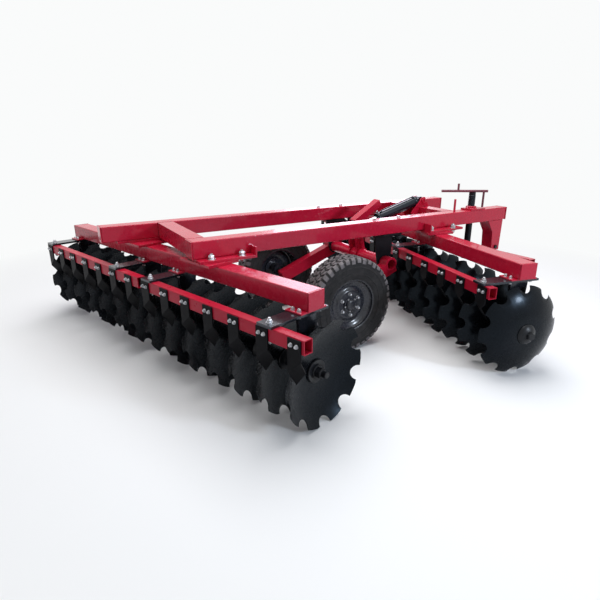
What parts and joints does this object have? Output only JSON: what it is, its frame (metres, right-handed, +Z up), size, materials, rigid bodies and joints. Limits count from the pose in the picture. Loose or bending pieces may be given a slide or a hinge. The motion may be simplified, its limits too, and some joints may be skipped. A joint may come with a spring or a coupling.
{
  "type": "offset disc harrow",
  "caption": "Trailed offset disc harrow: two angled gangs of notched discs under a box frame, with a cylinder-worked pair of transport wheels, scrapers and a hitch bar with levelling screw.",
  "frame": {"origin": "on the ground under the middle of the bounding box", "axes": "+X forward, the way it is towed; +Y to its left; +Z up"},
  "size_m": [3.923, 3.4396, 1.216],
  "materials": {
    "red_paint": "gloss paint",
    "black_paint": "satin paint",
    "disc_steel": "semi-gloss blue-black coat",
    "axle_steel": "satin",
    "rim_paint": "semi-gloss paint",
    "tyre": "dusty rubber",
    "chrome_rod": "polished",
    "zinc": "bright zinc"
  },
  "bodies": {
    "frame": {"right_beam": "red_paint", "left_beam": "red_paint", "rear_cross_beam": "red_paint", "mid_cross_beam": "red_paint", "end_caps": "red_paint", "rear_gang_beam": "red_paint", "front_gang_beam": "red_paint", "rear_upper_pivot_plates": "red_paint", "rear_lower_pivot_plates": "red_paint", "front_upper_pivot_plates": "red_paint", "front_lower_pivot_plates": "red_paint", "lug_plates": "red_paint", "rear_hangers": "black_paint", "front_hangers": "black_paint", "rear_scraper_beams": "red_paint", "front_scraper_beams": "red_paint", "rear_scrapers": "black_paint", "front_scrapers": "black_paint", "rockshaft_hangers": "black_paint", "cylinder_mast": "red_paint", "hitch_legs": "red_paint", "hitch_bar": "red_paint", "levelling_arm": "red_paint", "hitch_pins": "zinc", "levelling_screw": "black_paint", "screw_plate": "red_paint", "screw_crank": "red_paint"},
    "lift": {"rockshaft": "red_paint", "lift_lever": "red_paint", "swing_arms": "red_paint", "spindles": "axle_steel"},
    "right_wheel": {"right_tyre": "tyre", "right_rim": "rim_paint", "right_hub": "rim_paint"},
    "left_wheel": {"left_tyre": "tyre", "left_rim": "rim_paint", "left_hub": "rim_paint"},
    "rear_right_gang": {"rear_right_discs": "disc_steel", "rear_right_axle": "axle_steel"},
    "rear_left_gang": {"rear_left_discs": "disc_steel", "rear_left_axle": "axle_steel"},
    "front_right_gang": {"front_right_discs": "disc_steel", "front_right_axle": "axle_steel"},
    "front_left_gang": {"front_left_discs": "disc_steel", "front_left_axle": "axle_steel"},
    "barrel": {"cylinder_barrel": "black_paint"},
    "rod": {"cylinder_rod": "chrome_rod", "transport_lock": "red_paint"}
  },
  "joints": [
    {"name": "lift_swing", "type": "hinge", "parent": "frame", "child": "lift", "pos_m": [0.54, 0, 0.59], "axis": [0, -1, 0], "range_deg": [-21, 34]},
    {"name": "right_wheel_spin", "type": "hinge", "parent": "lift", "child": "right_wheel", "pos_m": [-0.015, -0.597, 0.38], "axis": [0, 1, 0], "continuous": true},
    {"name": "left_wheel_spin", "type": "hinge", "parent": "lift", "child": "left_wheel", "pos_m": [-0.015, 0.597, 0.38], "axis": [0, 1, 0], "continuous": true},
    {"name": "rear_right_gang_spin", "type": "hinge", "parent": "frame", "child": "rear_right_gang", "pos_m": [-0.97266, -0.70886, 0.33], "axis": [-0.2756, 0.9613, 0], "continuous": true},
    {"name": "rear_left_gang_spin", "type": "hinge", "parent": "frame", "child": "rear_left_gang", "pos_m": [-1.43573, 0.90606, 0.33], "axis": [-0.2756, 0.9613, 0], "continuous": true},
    {"name": "front_right_gang_spin", "type": "hinge", "parent": "frame", "child": "front_right_gang", "pos_m": [0.92571, -0.92498, 0.33], "axis": [0.225, 0.9744, 0], "continuous": true},
    {"name": "front_left_gang_spin", "type": "hinge", "parent": "frame", "child": "front_left_gang", "pos_m": [1.30363, 0.71196, 0.33], "axis": [0.225, 0.9744, 0], "continuous": true},
    {"name": "barrel_tilt", "type": "hinge", "parent": "frame", "child": "barrel", "pos_m": [1.275, 0, 1.04], "axis": [0, -1, 0], "range_deg": [-0.5, 0.7]},
    {"name": "rod_slide", "type": "slide", "parent": "barrel", "child": "rod", "axis": [-0.9652, 0, -0.2615], "range_m": [-0.09, 0.143]}
  ],
  "couplings": [
    {"joint": "barrel_tilt", "follows": "lift_swing", "ratio": 0.0111},
    {"joint": "rod_slide", "follows": "lift_swing", "m_per_rad": 0.2382}
  ]
}
